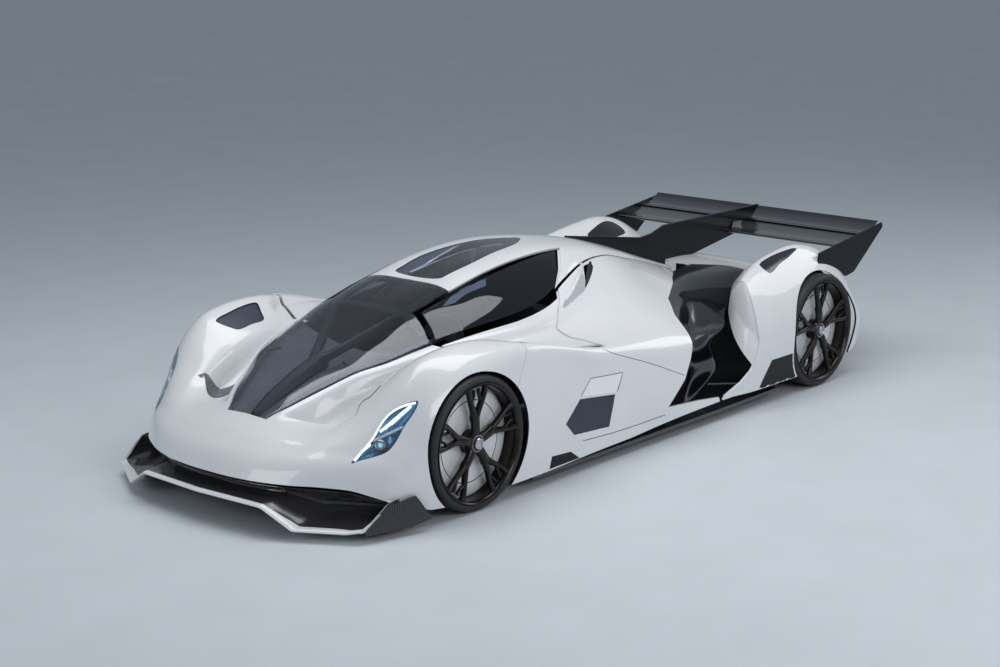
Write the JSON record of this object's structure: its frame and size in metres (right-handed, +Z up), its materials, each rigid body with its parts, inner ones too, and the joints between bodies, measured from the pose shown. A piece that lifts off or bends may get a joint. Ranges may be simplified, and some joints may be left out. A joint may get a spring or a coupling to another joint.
{
  "type": "closed sports prototype race car",
  "caption": "Low closed race car with a teardrop canopy, butterfly doors, shark fin, two-element rear wing, a drooped nose with a raised lip, and four spoked wheels that roll and steer.",
  "frame": {"origin": "on the ground, below the middle of the car's length and width", "axes": "+X towards the nose, +Y to the car's left, +Z up"},
  "size_m": [4.974, 1.9588, 1.0417],
  "materials": {
    "white_paint": "pearl white paint on carbon panels",
    "carbon": "lacquered black carbon fibre weave",
    "tinted_glass": "dark blue tinted screen",
    "tyre_rubber": "slick racing rubber",
    "rim_carbon": "gloss black spokes",
    "steel": "plain steel",
    "alloy_block": "cast alloy",
    "cockpit_trim": "black trim",
    "red_lamp": "red rain light",
    "lamp_glass": "clear lamp cover"
  },
  "bodies": {
    "chassis": {"tub": "carbon", "floor": "carbon", "splitter": "white_paint", "nose_duct": "carbon", "front_clip": "white_paint", "windscreen": "tinted_glass", "canopy_spine": "carbon", "roof_cover": "white_paint", "roof_glass": "tinted_glass", "side_pod_left": "white_paint", "side_pod_right": "white_paint", "side_duct_left": "carbon", "side_duct_right": "carbon", "rear_fender_left": "white_paint", "rear_fender_right": "white_paint", "rear_deck": "white_paint", "shark_fin": "carbon", "wing_main": "carbon", "wing_flap": "carbon", "endplate_left": "carbon", "endplate_right": "carbon", "diffuser": "carbon", "tail_lamp": "red_lamp", "seat": "cockpit_trim", "steering_wheel": "cockpit_trim", "power_unit": "alloy_block", "front_wishbones_left": "steel", "front_wishbones_right": "steel", "rear_suspension": "steel", "headlamp_left": "lamp_glass", "headlamp_right": "lamp_glass"},
    "knuckle_left": {"knuckle_left": "steel"},
    "door_left": {"door_left": "white_paint", "door_glass_left": "tinted_glass"},
    "wheel_front_left": {"rim_front_left": "rim_carbon", "tyre_front_left": "tyre_rubber"},
    "wheel_rear_left": {"rim_rear_left": "rim_carbon", "tyre_rear_left": "tyre_rubber"},
    "knuckle_right": {"knuckle_right": "steel"},
    "door_right": {"door_right": "white_paint", "door_glass_right": "tinted_glass"},
    "wheel_front_right": {"rim_front_right": "rim_carbon", "tyre_front_right": "tyre_rubber"},
    "wheel_rear_right": {"rim_rear_right": "rim_carbon", "tyre_rear_right": "tyre_rubber"}
  },
  "joints": [
    {"name": "steer_left", "type": "hinge", "parent": "chassis", "child": "knuckle_left", "pos_m": [1.488, 0.77, 0.341], "axis": [0, 0, 1], "range_deg": [-15, 15]},
    {"name": "roll_front_left", "type": "hinge", "parent": "knuckle_left", "child": "wheel_front_left", "pos_m": [1.488, 0.8, 0.341], "axis": [0, 1, 0], "continuous": true},
    {"name": "roll_rear_left", "type": "hinge", "parent": "chassis", "child": "wheel_rear_left", "pos_m": [-1.662, 0.8, 0.341], "axis": [0, 1, 0], "continuous": true},
    {"name": "door_left_swing", "type": "hinge", "parent": "chassis", "child": "door_left", "pos_m": [1.31, 0.468, 0.766], "axis": [0.8117, 0.4059, -0.42], "range_deg": [0, 60]},
    {"name": "steer_right", "type": "hinge", "parent": "chassis", "child": "knuckle_right", "pos_m": [1.488, -0.77, 0.341], "axis": [0, 0, 1], "range_deg": [-15, 15]},
    {"name": "roll_front_right", "type": "hinge", "parent": "knuckle_right", "child": "wheel_front_right", "pos_m": [1.488, -0.8, 0.341], "axis": [0, 1, 0], "continuous": true},
    {"name": "roll_rear_right", "type": "hinge", "parent": "chassis", "child": "wheel_rear_right", "pos_m": [-1.662, -0.8, 0.341], "axis": [0, 1, 0], "continuous": true},
    {"name": "door_right_swing", "type": "hinge", "parent": "chassis", "child": "door_right", "pos_m": [1.31, -0.468, 0.766], "axis": [-0.8117, 0.4059, 0.42], "range_deg": [0, 60]}
  ],
  "couplings": [
    {"joint": "steer_right", "follows": "steer_left", "ratio": 1}
  ]
}
